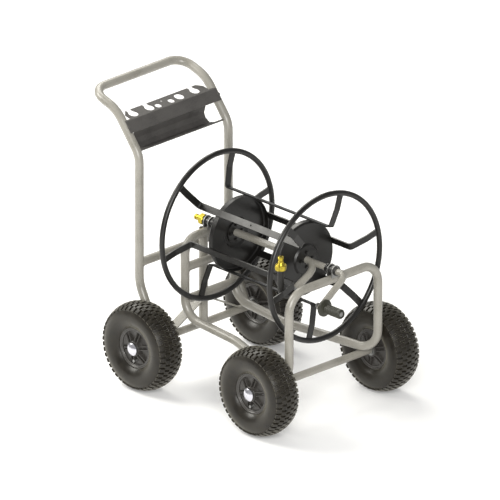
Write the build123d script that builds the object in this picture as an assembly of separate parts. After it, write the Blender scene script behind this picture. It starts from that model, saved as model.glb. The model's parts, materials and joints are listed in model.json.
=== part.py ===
from build123d import *
import os
from math import cos, radians, sin, sqrt, tan

# Four-wheeled garden hose reel cart.  Millimetres, +Z up, +X from the push handle
# towards the crank, +Y to the cart's left.  Each piece is built from the rear axle
# (x = 0) and the floor (z = 0); the finished cart is then centred on the origin.

# ---------------------------------------------------------------- driving sizes
wheelbase = 470.0           # rear axle to front axle
track = 475.0               # left tyre centre to right tyre centre

# fits
weld_gap = 0.05             # root gap at a welded joint
running_fit = 0.05          # radial, a shaft that turns in its bore
press_gap = 0.02            # radial, a piece pushed home
end_float = 0.3             # axial, between pieces that turn against each other
cut_through = 50.0          # length of a cutter that goes right through a sheet

# frame tube
tube_r = 12.7
tube_wall = 1.6
axle_tube_r = 11.1

# wheels
tyre_r = 130.0
tyre_half_width = 47.0
tyre_wall = 6.0
tyre_shoulder_drop = 9.0    # from the tread's middle to its edge
tyre_shoulder_half_y = 37.13
tyre_belly_r = 93.6         # where the side wall is widest
flange_r = 60.0
flange_half_width = 31.5
flange_thickness = 2.5
bead_r = 50.8
bead_gap = 0.6              # tyre side wall to rim flange
bead_foot_height = 8.0      # thickness of the tyre's foot on the rim
well_depth = 4.8            # drop centre of the rim
well_half_width = 14.0
well_slope = 4.0
barrel_wall = 2.8
hub_r = 22.0
hub_half_length = 38.0
web_thickness = 5.0
rib_count = 7
rib_thickness = 4.0
rib_half_y_hub = 29.0       # a rib's half height at the hub and at the barrel
rib_half_y_barrel = 13.0
bearing_r = 17.5
bearing_width = 11.0
bearing_shoulder = 4.5      # radial, what a bearing rests against in the hub
axle_r = 7.9
axle_chamfer = 1.0
axle_washer_r = 14.0
axle_washer_t = 2.0
axle_bush_length = 22.0
cap_r = 19.0
cap_depth = 9.5
cap_wall = 1.2
cap_rim = 2.5
cap_collar_wall = 3.0
cap_collar_depth = 5.0
axle_beyond_collar = 1.0    # rod's end past the cap's collar, under the dome

axle_z = tyre_r             # the frame's heights are measured from the axles

# reel
ring_r = 216.6
ring_tube_r = 8.0
ring_wall = 1.5
ring_over_axle = 92.65      # lowest point of the rings above the axles' height
rear_ring_gap = 29.5        # hoop to ring, centre to centre
front_ring_gap = 36.0
strap_count = 6
strap_first_angle = 13.0    # degrees from +Y towards +Z
strap_width = 20.0
strap_thickness = 4.0
strap_drum_r = 113.0
strap_dish = 9.0
strap_dish_r = 169.0
strap_bend_r = 9.0
strap_shoulder_r = 14.0
strap_hole_r = 3.0
strap_with_hole = 3
rear_disc_inset = 76.5      # ring to end plate
front_disc_inset = 77.0
disc_flange = 19.0
disc_sheet = 2.0
disc_corner_r = 6.0
boss_r = 42.0
boss_height = 5.0
boss_inner_step = 1.0       # keeps the sheet's thickness over the boss's slope
hub_plate_r = 31.0
hub_plate_t = 4.0
hub_bolt_count = 4
hub_bolt_circle_r = 22.0
hub_bolt_r = 3.0
hub_bolt_head_r = 5.5
hub_bolt_head_h = 4.0
thread_tail = 2.0           # thread that shows beyond a nut

# water way and crank
pipe_r = 10.65
pipe_wall = 2.6
pipe_stub = 26.0            # pipe beyond the rear hoop, inside the swivel
bush_wall = 2.25
bush_length = 32.0
bracket_wall = 4.0          # radial, round the bush
bracket_thickness = 3.0
bracket_width = 21.0        # over both ears
collar_wall = 5.0
collar_length = 8.0
outlet_beyond_disc = 52.0
outlet_angle = 208.0        # degrees from +Y towards +Z
outlet_pipe_end_r = 112.0
outlet_bend_r = 45.0
hose_r = 9.5
hose_bore_r = 6.0
hose_bend_r = 30.0
outlet_y = -148.0
outlet_fitting_z = 26.0     # foot of the brass outlet, above the reel's axis
clamp_wall = 2.2
clamp_length = 8.0
clamp_overlap = 1.0         # clamp beyond the pipe's end
crank_tube_r = 9.5
crank_tube_wall = 2.0
crank_beyond_hoop = 50.0
crank_bend_r = 22.0
crank_root = 0.8            # of the pipe's bend, how far back the crank starts inside it
crank_angle = 215.0
crank_throw = 119.0
crank_overhang = 11.0       # tube beyond the grip's pin
pin_r = 4.0
pin_head_r = 8.0
pin_head_h = 5.0
pin_head_round = 2.5
pin_recess = 7.0            # depth of the grip's end around the pin's head
pin_recess_gap = 1.0
grip_length = 74.0
grip_r = 14.0
grip_boss_r = 25.0
grip_boss_length = 9.0
grip_boss_round = 2.0
grip_boss_slope = 3.0
grip_groove_depth = 1.2
grip_groove_count = 7
grip_plain_start = 8.0      # boss to first groove
grip_plain_end = 10.0       # last groove to the grip's end
grip_end_round = 4.0

# brass fittings
hex_across = 31.0
hex_length = 16.0
hex_crown = 1.4             # how far the corners stand out past the flats
hex_chamfer = 2.0
shoulder_r = 12.5
shoulder_length = 7.0
nose_r = 8.5
nose_length = 16.5
nose_land = 4.15            # plain length before the groove
nose_groove_depth = 1.5
nose_groove_width = 4.0
nose_groove_slope = 1.0
nose_chamfer = 1.0
fitting_bore_r = 5.5
socket_step = 1.0
outlet_socket_depth = 2.0
seal_t = 3.0

# hoops that carry the reel, and the rails that join them
rear_hoop_x = 28.0
rear_hoop_half_y = 97.0
rear_hoop_corner_r = 45.0
front_hoop_x = wheelbase + 58.0
front_hoop_half_y = 175.0
front_hoop_corner_r = 60.0
hoop_foot_r = 60.0
rail_fall = 4.48            # degrees, down towards the front axle
rail_joint_x = 150.0        # where the two bent tubes meet
rail_kink_x = 231.0
rail_kink_r = 150.0
spigot_length = 80.0
spigot_wall = 1.5
crossbar_low_z = axle_z + 107.0
crossbar_high_z = axle_z + 205.0
brace_width = 32.0
brace_thickness = 4.0
brace_top_z = axle_z + 78.0
brace_angle = 28.3          # degrees below level

# push handle
handle_half_y = 175.5
handle_x = -76.0            # upright part of the handle
handle_kink_z = axle_z + 151.0
handle_knee_z = axle_z + 538.0
handle_back_x = -167.0      # where the handle flattens towards the grip bar
handle_back_z = axle_z + 652.0
grip_bar_x = -268.0
grip_bar_z = axle_z + 682.5
handle_crossbar_z = axle_z + 212.0
handle_bend_r = 100.0
handle_knee_r = 70.0
grip_corner_r = 50.0

# tool rack on the handle
rack_sheet = 2.0
rack_half_y = 178.5
rack_top_half_y = 154.0
rack_top_width = 43.5
rack_top_fall = 10.9        # degrees, the top plate's fall towards the front
rack_fold_r = 3.0
rack_flange_width = 36.0
rack_fold_z = handle_knee_z + 88.3
rack_corner_cut = 22.0
rack_ear = 5.25             # flat left of the top plate beside the fold, at its ends
rack_screw_r = 2.5
rack_screw_head_r = 5.5
rack_screw_head_h = 2.5
rack_screw_head_round = 1.5
rack_screw_length = 5.0
tool_hole_r = 14.5
tool_slot_width = 18.0
tool_slot_ys = (-127.0, -64.0, 114.0)
tool_hole_y = 53.0
small_hole_r = 10.0
small_hole_ys = (-34.0, 17.0)
small_hole_forward = 5.0    # towards the fold, from the plate's middle
nail_hole_r = 3.0
nail_hole_y = -8.0
nail_hole_back = 9.0
bit_hole_r = 3.5
bit_hole_count = 8
bit_hole_pitch = 36.0
trough_bend_r = 6.0
trough_side_lap = 4.0       # how far the sheet's foot reaches under the handle's tubes
trough_foot_width = 20.0    # the part of the sheet that runs up to the tubes
trough_belly_half_y = 141.0

# ---------------------------------------------------------------- derived places
wheel_y = track / 2
hub_inner_y = wheel_y - hub_half_length
hub_outer_y = wheel_y + hub_half_length
axle_tube_half = hub_inner_y - end_float - axle_washer_t
cap_seat_y = hub_outer_y + end_float + axle_washer_t
axle_rod_half = cap_seat_y + cap_collar_depth + axle_beyond_collar
touching = 2 * tube_r + weld_gap            # centres of two tubes welded side by side
on_axle_tube = tube_r + axle_tube_r + weld_gap
bush_r = pipe_r + bush_wall
axis_z = axle_z + ring_over_axle + ring_r + ring_tube_r
hoop_top_z = axis_z - bush_r - tube_r - weld_gap
post_x = rear_hoop_x - touching
rear_ring_x = rear_hoop_x + rear_ring_gap
front_ring_x = front_hoop_x - front_ring_gap
rear_disc_x = rear_ring_x + rear_disc_inset
front_disc_x = front_ring_x - front_disc_inset
disc_r = strap_drum_r - strap_thickness / 2 - weld_gap
pipe_rear_x = rear_hoop_x - pipe_stub
outlet_x = front_disc_x + outlet_beyond_disc
outlet_z = axis_z + outlet_fitting_z
crank_x = front_hoop_x + crank_beyond_hoop
crank_end_x = crank_x + crank_tube_r
grip_start_x = crank_end_x + end_float
grip_end_x = grip_start_x + grip_length
handle_end_x = grip_bar_x - tube_r
pin_seat_x = grip_end_x - pin_recess + end_float
front_end_x = grip_end_x
centre_x = (handle_end_x + front_end_x) / 2

SIDES = {"left": 1, "right": -1}
AXLES = {"rear": 0.0, "front": wheelbase}
UPRIGHT = (Align.CENTER, Align.CENTER, Align.MIN)


def rail_z(x):
    """Height of the rails' centreline, which rests on the front axle tube."""
    over_axle = axle_z + on_axle_tube / cos(radians(rail_fall))
    return over_axle + (wheelbase - x) * tan(radians(rail_fall))


# ---------------------------------------------------------------- shared shapes
def rod(start, end, radius):
    """Solid round bar between two points."""
    start, end = Vector(*start), Vector(*end)
    base = Plane(origin=start, z_dir=end - start)
    return base * Cylinder(radius, (end - start).length, align=UPRIGHT)


def bar_y(x, z, half_length, radius):
    """Solid round bar across the cart."""
    return rod((x, -half_length, z), (x, half_length, z), radius)


def straight_tube(start, end, radius, wall):
    """Round tube between two points."""
    return rod(start, end, radius) - rod(start, end, radius - wall)


def centreline(corners, bend_radii):
    """Straight runs joined by bends."""
    if len(corners) == 2:
        return Line(*corners)
    return FilletPolyline(*corners, radius=bend_radii)


def bent_rod(corners, bend_radii, radius):
    """Solid round bar along straight runs joined by bends."""
    path = centreline(corners, bend_radii)
    start = Plane(origin=path @ 0, z_dir=path % 0)
    return sweep(start * Circle(radius), path=path)


def bent_tube(corners, bend_radii, radius, wall):
    """Round tube along straight runs joined by bends."""
    return bent_rod(corners, bend_radii, radius) - bent_rod(corners, bend_radii, radius - wall)


def bent_strip(corners, bend_radii, width, thickness, across):
    """Flat strip folded along its length; across is the direction of its width."""
    path = centreline(corners, bend_radii)
    start = Plane(origin=path @ 0, x_dir=across, z_dir=path % 0)
    return sweep(start * Rectangle(width, thickness), path=path)


def turned_x(outline, at_x, at_z=axis_z):
    """Solid of revolution about a line along X; outline points are (x, radius)."""
    face = make_face(Polyline(*outline, close=True))
    return Pos(at_x, 0, at_z) * revolve(face, Axis.X)


def group(solids):
    """Identical pieces kept together in one node."""
    return Compound(children=list(solids))


def around_axis(angle, radius, x):
    """Point on the reel at an angle from +Y towards +Z."""
    return (x, radius * cos(radians(angle)), axis_z + radius * sin(radians(angle)))


# ---------------------------------------------------------------- frame
def handle_route():
    """Corners and bends of the handle: axle, upright, grip bar and down the other side."""
    side = [
        (0, axle_z),
        (handle_x, handle_kink_z),
        (handle_x, handle_knee_z),
        (handle_back_x, handle_back_z),
        (grip_bar_x, grip_bar_z),
    ]
    right = [(x, -handle_half_y, z) for x, z in side]
    left = [(x, handle_half_y, z) for x, z in reversed(side)]
    bends = [handle_bend_r, handle_knee_r, handle_bend_r, grip_corner_r]
    return right + left, bends + bends[::-1]


def handle_tube():
    """One bent tube, its two ends coped onto the rear axle tube, drilled for the rack's screws."""
    cutters = [bar_y(0, axle_z, axle_tube_half, axle_tube_r + weld_gap)]
    for side in SIDES.values():
        cutters.append(rack_screw_axis(side, rack_screw_r + press_gap, cut_through / 2))
    return bent_tube(*handle_route(), tube_r, tube_wall) - cutters


def handle_crossbar():
    """Bar between the handle's uprights."""
    bar = straight_tube(
        (handle_x, -handle_half_y, handle_crossbar_z),
        (handle_x, handle_half_y, handle_crossbar_z),
        tube_r,
        tube_wall,
    )
    return bar - bent_rod(*handle_route(), tube_r + weld_gap)


def hoop_route(hoop_x, half_y, corner_r, foot, foot_bends):
    """Inverted U across the cart whose legs turn into the rails; foot runs up to the leg."""
    right = [(x, -y, z) for x, y, z in foot]
    left = [(x, y, z) for x, y, z in reversed(foot)]
    top = [(hoop_x, -half_y, hoop_top_z), (hoop_x, half_y, hoop_top_z)]
    return right + top + left, foot_bends + [corner_r, corner_r] + foot_bends[::-1]


def rear_hoop_route():
    """Rear hoop from the butt joint on one rail to the joint on the other."""
    joint_x = rail_joint_x - weld_gap
    foot = [
        (joint_x, rear_hoop_half_y, rail_z(joint_x)),
        (rear_hoop_x, rear_hoop_half_y, rail_z(rear_hoop_x)),
    ]
    return hoop_route(rear_hoop_x, rear_hoop_half_y, rear_hoop_corner_r, foot, [hoop_foot_r])


def front_hoop_route():
    """Front hoop with the rails, which run back between the axles and draw together."""
    foot = [
        (rail_joint_x, rear_hoop_half_y, rail_z(rail_joint_x)),
        (rail_kink_x, rear_hoop_half_y, rail_z(rail_kink_x)),
        (front_hoop_x, front_hoop_half_y, rail_z(front_hoop_x)),
    ]
    bends = [rail_kink_r, hoop_foot_r]
    return hoop_route(front_hoop_x, front_hoop_half_y, front_hoop_corner_r, foot, bends)


def rear_hoop():
    """Bent tube under the rear bearing."""
    return bent_tube(*rear_hoop_route(), tube_r, tube_wall)


def front_hoop():
    """Bent tube under the front bearing, with most of both rails."""
    return bent_tube(*front_hoop_route(), tube_r, tube_wall)


def rail_spigot(side):
    """Sleeve inside the butt joint of the two bent tubes."""
    ends = [rail_joint_x - spigot_length / 2, rail_joint_x + spigot_length / 2]
    start, end = [(x, side * rear_hoop_half_y, rail_z(x)) for x in ends]
    return straight_tube(start, end, tube_r - tube_wall - press_gap, spigot_wall)


def hoop_crossbar(z):
    """Rung between the legs of the rear hoop."""
    bar = straight_tube(
        (rear_hoop_x, -rear_hoop_half_y, z),
        (rear_hoop_x, rear_hoop_half_y, z),
        tube_r,
        tube_wall,
    )
    return bar - bent_rod(*rear_hoop_route(), tube_r + weld_gap)


def centre_post():
    """Post from the rear axle up the back of the rear hoop."""
    foot_z = axle_z + axle_tube_r / 2
    post = straight_tube((post_x, 0, foot_z), (post_x, 0, hoop_top_z), tube_r, tube_wall)
    return post - bar_y(0, axle_z, tube_r * 2, axle_tube_r + weld_gap)


def brace(side):
    """Flat strap from the centre post down to the top of the rear axle tube."""
    top_y = tube_r + weld_gap
    reach = (brace_top_z - axle_z) / tan(radians(brace_angle))
    start = (0, side * top_y, brace_top_z)
    end = (0, side * (top_y + reach), axle_z)
    strap = bent_strip([start, end], [], brace_width, brace_thickness, (1, 0, 0))
    over_tube = axle_z + axle_tube_r + weld_gap
    keep = Box(2 * brace_width, 2 * reach, 2 * brace_top_z, align=(Align.CENTER, Align.MIN, Align.MIN))
    if side < 0:
        keep = keep.mirror(Plane.XZ)
    return strap & Pos(0, side * top_y, over_tube) * keep


def axle_tube(x):
    """Cross tube that holds an axle and the wheels at its ends."""
    ends = [(x, side * axle_tube_half, axle_z) for side in (-1, 1)]
    return straight_tube(*ends, axle_tube_r, tube_wall)


def axle_bushes():
    """Collars in the ends of both axle tubes that hold the axle rods in the middle."""
    solids = []
    for x in AXLES.values():
        for side in SIDES.values():
            inner = (x, side * (axle_tube_half - axle_bush_length), axle_z)
            outer = (x, side * axle_tube_half, axle_z)
            outside = rod(inner, outer, axle_tube_r - tube_wall - press_gap)
            solids.append(outside - rod(inner, outer, axle_r + press_gap))
    return group(solids)


def axle_rod(x):
    """Round axle through both wheels, its ends eased."""
    axle = bar_y(x, axle_z, axle_rod_half, axle_r)
    return chamfer(axle.edges().filter_by(GeomType.CIRCLE), axle_chamfer)


def axle_washers():
    """A washer each side of every hub."""
    solids = []
    for x in AXLES.values():
        for side in SIDES.values():
            for y in (axle_tube_half, hub_outer_y + end_float):
                inner = (x, side * y, axle_z)
                outer = (x, side * (y + axle_washer_t), axle_z)
                solids.append(rod(inner, outer, axle_washer_r) - rod(inner, outer, axle_r + press_gap))
    return group(solids)


def dome_middle(half_width, foot_y, top_y):
    """Middle point, as (radius, y), of the arc of a dome centred on the y axis."""
    height = top_y - foot_y
    sphere_r = (half_width**2 + height**2) / (2 * height)
    middle_r = half_width / 2
    return (middle_r, top_y - sphere_r + sqrt(sphere_r**2 - middle_r**2))


def axle_cap():
    """Domed push-on cap: rim, inner collar on the rod and a thin dome; points are (radius, y)."""
    bore_r = axle_r + press_gap
    collar_r = bore_r + cap_collar_wall
    shell_r = cap_r - cap_wall
    under_y = cap_depth - cap_wall
    outline = (
        Polyline((bore_r, 0), (cap_r, 0), (cap_r, cap_rim))
        + ThreePointArc((cap_r, cap_rim), dome_middle(cap_r, cap_rim, cap_depth), (0, cap_depth))
        + Line((0, cap_depth), (0, under_y))
        + ThreePointArc((0, under_y), dome_middle(shell_r, cap_rim, under_y), (shell_r, cap_rim))
        + Polyline((shell_r, cap_rim), (shell_r, cap_wall), (collar_r, cap_wall))
        + Polyline((collar_r, cap_wall), (collar_r, cap_collar_depth), (bore_r, cap_collar_depth))
        + Line((bore_r, cap_collar_depth), (bore_r, 0))
    )
    return revolve(make_face(outline), Axis.Y)


def axle_caps():
    """The four caps, pushed on up to the outer washers."""
    solids = []
    for x in AXLES.values():
        solids.append(Pos(x, cap_seat_y, axle_z) * axle_cap())
        solids.append(Pos(x, -cap_seat_y, axle_z) * Rot(180, 0, 0) * axle_cap())
    return group(solids)


def bearing_bracket(x):
    """Two ears with round tops that hold the bush, their feet on the hoop's top tube."""
    inner_r = bush_r + weld_gap
    outer_r = inner_r + bracket_wall
    drop = axis_z - hoop_top_z
    outside = Circle(outer_r) + Pos(0, -drop / 2) * Rectangle(2 * outer_r, drop)
    profile = Plane.YZ * (outside - Circle(inner_r))
    ear = extrude(profile, amount=bracket_thickness, dir=(1, 0, 0))
    hoop = bar_y(x, hoop_top_z, 2 * outer_r, tube_r + weld_gap)
    starts = (x - bracket_width / 2, x + bracket_width / 2 - bracket_thickness)
    return group([Pos(start, 0, axis_z) * ear - hoop for start in starts])


def bearing_bush(x, shaft_r):
    """Moulded bush that the reel's shaft turns in."""
    start = (x - bush_length / 2, 0, axis_z)
    end = (x + bush_length / 2, 0, axis_z)
    return rod(start, end, bush_r) - rod(start, end, shaft_r + running_fit)


# ---------------------------------------------------------------- tool rack
def handle_slope():
    """Unit vector up the leaning part of the handle, in X and Z."""
    run = Vector(handle_back_x - handle_x, 0, handle_back_z - handle_knee_z)
    return run.normalized()


def handle_front_at(z, standoff):
    """X at a height of the line that runs a standoff in front of the leaning tubes."""
    up = handle_slope()
    base = Vector(handle_x, 0, handle_knee_z) + Vector(up.Z, 0, -up.X) * (tube_r + standoff)
    return base.X + up.X * (z - base.Z) / up.Z


def rack_plane():
    """Working plane on the middle of the top plate: x across the cart, y to the rear edge."""
    fall = radians(rack_top_fall)
    to_rear = Vector(-cos(fall), 0, sin(fall))
    fold = Vector(handle_front_at(rack_fold_z, weld_gap + rack_sheet / 2), 0, rack_fold_z)
    normal = Vector(sin(fall), 0, cos(fall))
    middle = fold + to_rear * rack_top_width / 2
    return Plane(origin=middle, x_dir=(0, 1, 0), z_dir=normal)


def tool_rack():
    """Folded sheet: a top plate with tool holes and a flange on the handle tubes."""
    plane = rack_plane()
    up = handle_slope()
    rear = plane.from_local_coords(Vector(0, rack_top_width / 2, 0))
    fold = plane.from_local_coords(Vector(0, -rack_top_width / 2, 0))
    foot = fold - up * rack_flange_width
    sheet = bent_strip([rear, fold, foot], [rack_fold_r], 2 * rack_half_y, rack_sheet, (0, 1, 0))
    cutters = [bent_rod(*handle_route(), tube_r + weld_gap)]
    rear_y = rack_top_width / 2
    step = Box(2 * (rack_half_y - rack_top_half_y), 2 * (rack_top_width - rack_ear), cut_through / 2)
    corner = Rot(0, 0, 45) * Box(rack_corner_cut, rack_corner_cut, cut_through)
    for side in SIDES.values():
        cutters.append(plane * Pos(side * rack_half_y, rear_y, 0) * step)
        cutters.append(plane * Pos(side * rack_top_half_y, rear_y, 0) * corner)
        cutters.append(rack_screw_axis(side, rack_screw_r + running_fit, cut_through))
    round_holes = [(tool_hole_y, 0, tool_hole_r), (nail_hole_y, nail_hole_back, nail_hole_r)]
    round_holes += [(y, -small_hole_forward, small_hole_r) for y in small_hole_ys]
    round_holes += [(y, 0, tool_hole_r) for y in tool_slot_ys]
    for y, back, radius in round_holes:
        cutters.append(plane * Pos(y, back, 0) * Cylinder(radius, cut_through))
    for y in tool_slot_ys:
        cutters.append(plane * Pos(y, rear_y, 0) * Box(tool_slot_width, rack_top_width, cut_through))
    return sheet - cutters


def rack_screw_seat(side):
    """Point on the flange's front face over the middle of a handle tube."""
    up = handle_slope()
    fold = rack_plane().from_local_coords(Vector(0, -rack_top_width / 2, 0))
    front = Vector(up.Z, 0, -up.X)
    middle = fold - up * rack_flange_width * 0.5 + front * rack_sheet / 2
    return Vector(middle.X, side * handle_half_y, middle.Z)


def rack_screw_axis(side, radius, length):
    """Round bar on a screw's axis, centred on its seat."""
    up = handle_slope()
    front = Vector(up.Z, 0, -up.X)
    seat = rack_screw_seat(side)
    start = seat + front * length / 2
    end = seat - front * length / 2
    return rod(tuple(start), tuple(end), radius)


def rack_screws():
    """Pan-head screws through the flange into the handle tubes."""
    up = handle_slope()
    front = Vector(up.Z, 0, -up.X)
    solids = []
    for side in SIDES.values():
        seat = rack_screw_seat(side) + front * weld_gap
        head = Cylinder(rack_screw_head_r, rack_screw_head_h, align=UPRIGHT)
        head = fillet(head.edges().group_by(Axis.Z)[-1], rack_screw_head_round)
        shank = Cylinder(rack_screw_r, rack_screw_length, align=UPRIGHT)
        outward, inward = Plane(origin=seat, z_dir=front), Plane(origin=seat, z_dir=front * -1)
        solids.append(outward * head + inward * shank)
    return group(solids)


def rack_trough():
    """Curved sheet below the plate for the tool handles' ends, welded between the tubes.

    The outline's points are (x, z) from the knee of the handle.
    """
    lip = (-57.5, 44.0)
    belly = [(-63.5, 22.6), (-57.5, 8.8), (-41.0, -1.3)]
    foot = (-5.0, 10.5)
    corners = [(handle_x + x, 0, handle_knee_z + z) for x, z in [lip, *belly, foot]]
    half_y = handle_half_y - tube_r + trough_side_lap
    bends = [trough_bend_r] * len(belly)
    sheet = bent_strip(corners, bends, 2 * half_y, rack_sheet, (0, 1, 0))
    foot_start, foot_end = Vector(*corners[-2]), Vector(*corners[-1])
    along = (foot_end - foot_start).normalized()
    middle = (foot_start + foot_end) / 2
    plane = Plane(origin=middle, x_dir=(0, 1, 0), z_dir=along.cross(Vector(0, 1, 0)))
    cutters = [bent_rod(*handle_route(), tube_r + weld_gap)]
    beside_width = 2 * (half_y + weld_gap - trough_belly_half_y)
    beside = Box(cut_through, beside_width, 4 * cut_through)
    for side in SIDES.values():
        middle_x = handle_x - trough_foot_width - cut_through / 2
        cutters.append(Pos(middle_x, side * (half_y + weld_gap), handle_knee_z) * beside)
    first = -(bit_hole_count - 1) / 2 * bit_hole_pitch
    for index in range(bit_hole_count):
        hole = Cylinder(bit_hole_r, cut_through / 4)
        cutters.append(plane * Pos(first + index * bit_hole_pitch, 0, 0) * hole)
    return sheet - cutters


# ---------------------------------------------------------------- wheels
def arc_pair(start, middle, end):
    """A side wall's arc and its mirror image, in the order that the outline runs."""
    flip = [(r, -y) for r, y in (end, middle, start)]
    return ThreePointArc(start, middle, end), ThreePointArc(*flip)


def tyre():
    """Hollow tyre about +Y, open between its feet; outline points are (radius, y)."""
    foot_r = bead_r + weld_gap
    side_r = flange_r + bead_gap
    bead_y = flange_half_width - flange_thickness - bead_gap
    lip = (side_r, flange_half_width + bead_gap)
    shoulder = (tyre_r - tyre_shoulder_drop, tyre_shoulder_half_y)
    wall, other_wall = arc_pair(lip, (tyre_belly_r, tyre_half_width), shoulder)
    outside = (
        Polyline((foot_r, 0), (foot_r, bead_y), (side_r, bead_y), lip)
        + wall
        + ThreePointArc(shoulder, (tyre_r, 0), (shoulder[0], -shoulder[1]))
        + other_wall
        + Polyline((lip[0], -lip[1]), (side_r, -bead_y), (foot_r, -bead_y), (foot_r, 0))
    )
    in_bead = (bead_r + bead_foot_height, bead_y - tyre_wall)
    in_belly = (tyre_belly_r, tyre_half_width - tyre_wall)
    in_shoulder = (shoulder[0] - tyre_wall, shoulder[1] - tyre_wall)
    in_tread = (tyre_r - tyre_wall * 1.5, 0)
    below_foot_r = bead_r - tyre_wall
    in_wall, in_other_wall = arc_pair(in_bead, in_belly, in_shoulder)
    inside = (
        Polyline((below_foot_r, -in_bead[1]), (below_foot_r, in_bead[1]), in_bead)
        + in_wall
        + ThreePointArc(in_shoulder, in_tread, (in_shoulder[0], -in_shoulder[1]))
        + in_other_wall
        + Line((in_bead[0], -in_bead[1]), (below_foot_r, -in_bead[1]))
    )
    return revolve(make_face(outside) - make_face(inside), Axis.Y)


def rim():
    """Moulded rim about +Y: barrel with flanges, hub, web and ribs on both faces."""
    well_r = bead_r - well_depth
    inner_step = 1.0
    half = [
        (flange_r, flange_half_width),
        (flange_r, flange_half_width - flange_thickness),
        (bead_r, flange_half_width - flange_thickness),
        (bead_r, well_half_width + well_slope),
        (well_r, well_half_width),
    ]
    inner = [
        (well_r - barrel_wall, well_half_width + inner_step),
        (bead_r - barrel_wall, well_half_width + well_slope + inner_step),
        (bead_r - barrel_wall / 2, flange_half_width),
    ]
    outline = half + [(r, -y) for r, y in reversed(half)] + [(r, -y) for r, y in reversed(inner)] + inner
    barrel = revolve(make_face(Polyline(*outline, close=True)), Axis.Y)
    bore_r = bearing_r + press_gap
    seat = hub_half_length - bearing_width
    hub_half = [(hub_r, hub_half_length), (bore_r, hub_half_length), (bore_r, seat)]
    hub_half.append((bearing_r - bearing_shoulder, seat))
    hub_outline = hub_half + [(r, -y) for r, y in reversed(hub_half)]
    hub = revolve(make_face(Polyline(*hub_outline, close=True)), Axis.Y)
    web = Rot(90, 0, 0) * (Cylinder(well_r - 1, web_thickness) - Cylinder(hub_r - 1, web_thickness))
    rib_half = [(hub_r - 1, rib_half_y_hub), (well_r - 1, rib_half_y_barrel)]
    rib_outline = rib_half + [(r, -y) for r, y in reversed(rib_half)]
    rib = extrude(make_face(Polyline(*rib_outline, close=True)), amount=rib_thickness / 2, both=True)
    ribs = [Rot(0, 360 / rib_count * index, 0) * rib for index in range(rib_count)]
    return barrel + hub + web + ribs


def bearings():
    """The two ball bearings of one hub, closed rings that turn on the axle."""
    outline = [
        (axle_r + running_fit, 0),
        (bearing_r, 0),
        (bearing_r, bearing_width),
        (axle_r + running_fit, bearing_width),
    ]
    ring = revolve(make_face(Polyline(*outline, close=True)), Axis.Y)
    return group(
        [Pos(0, hub_half_length - bearing_width, 0) * ring, Pos(0, -hub_half_length, 0) * ring]
    )


# ---------------------------------------------------------------- reel
def ring(x):
    """Hoop of the reel that keeps the hose on the drum."""
    section = Pos(0, ring_r) * (Circle(ring_tube_r) - Circle(ring_tube_r - ring_wall))
    return Pos(x, 0, axis_z) * revolve(section, Axis.X)


def strap(index):
    """Flat bar from ring to ring: spoke, dished shoulder, drum, shoulder and spoke."""
    tip_r = sqrt((ring_r - ring_tube_r - weld_gap) ** 2 - (strap_width / 2) ** 2)
    corners = [
        (rear_ring_x, tip_r),
        (rear_ring_x, strap_dish_r),
        (rear_ring_x + strap_dish, strap_drum_r),
        (front_ring_x - strap_dish, strap_drum_r),
        (front_ring_x, strap_dish_r),
        (front_ring_x, tip_r),
    ]
    points = [(x, r, 0) for x, r in corners]
    bends = [strap_shoulder_r, strap_bend_r, strap_bend_r, strap_shoulder_r]
    bar = bent_strip(points, bends, strap_width, strap_thickness, (0, 0, 1))
    if index + 1 == strap_with_hole:
        middle = (rear_ring_x + front_ring_x) / 2
        bar -= rod((middle, 0, 0), (middle, ring_r, 0), strap_hole_r)
    angle = strap_first_angle + index * 360 / strap_count
    return Pos(0, 0, axis_z) * Rot(angle, 0, 0) * bar


def disc(x, inward):
    """Pressed end plate of the drum: raised boss outwards, flange inwards."""
    foot_r = boss_r + boss_height
    outer = [
        (0, disc_r - disc_corner_r),
        (0, foot_r),
        (-boss_height, boss_r),
        (-boss_height, pipe_r + press_gap),
    ]
    inner = [
        (disc_sheet - boss_height, pipe_r + press_gap),
        (disc_sheet - boss_height, boss_r - boss_inner_step),
        (disc_sheet, foot_r - boss_inner_step),
        (disc_sheet, disc_r - disc_corner_r),
    ]
    rim_start = (disc_corner_r, disc_r)
    rim_end = (disc_flange, disc_r)
    in_end = (disc_flange, disc_r - disc_sheet)
    in_start = (disc_corner_r, disc_r - disc_sheet)
    bend = disc_corner_r * sin(radians(45))
    tight = (disc_corner_r - disc_sheet) * sin(radians(45))
    corner_at = disc_r - disc_corner_r
    outline = (
        Polyline(*outer, *inner)
        + ThreePointArc(inner[-1], (disc_corner_r - tight, corner_at + tight), in_start)
        + Polyline(in_start, in_end, rim_end, rim_start)
        + ThreePointArc(rim_start, (disc_corner_r - bend, corner_at + bend), outer[0])
    )
    plate = revolve(make_face(outline), Axis.X)
    for index in range(hub_bolt_count):
        angle = 360 / hub_bolt_count * index
        hole = Rot(angle, 0, 0) * rod(
            (-2 * boss_height, hub_bolt_circle_r, 0),
            (2 * boss_height, hub_bolt_circle_r, 0),
            hub_bolt_r + running_fit,
        )
        plate -= hole
    if inward < 0:
        plate = Rot(0, 0, 180) * plate
    return Pos(x, 0, axis_z) * plate


def hub_plate_x(x, inward):
    """Outer face of the hub plate that is welded to the pipe behind a disc."""
    return x + inward * (disc_sheet - boss_height + weld_gap)


def hub_plate(x, inward):
    """Round plate on the pipe that a disc is bolted to."""
    near = hub_plate_x(x, inward)
    far = near + inward * hub_plate_t
    start, end = (near, 0, axis_z), (far, 0, axis_z)
    plate = rod(start, end, hub_plate_r) - rod(start, end, pipe_r + press_gap)
    for index in range(hub_bolt_count):
        angle = 360 / hub_bolt_count * index
        plate -= rod(
            around_axis(angle, hub_bolt_circle_r, near),
            around_axis(angle, hub_bolt_circle_r, far),
            hub_bolt_r + running_fit,
        )
    return plate


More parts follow.
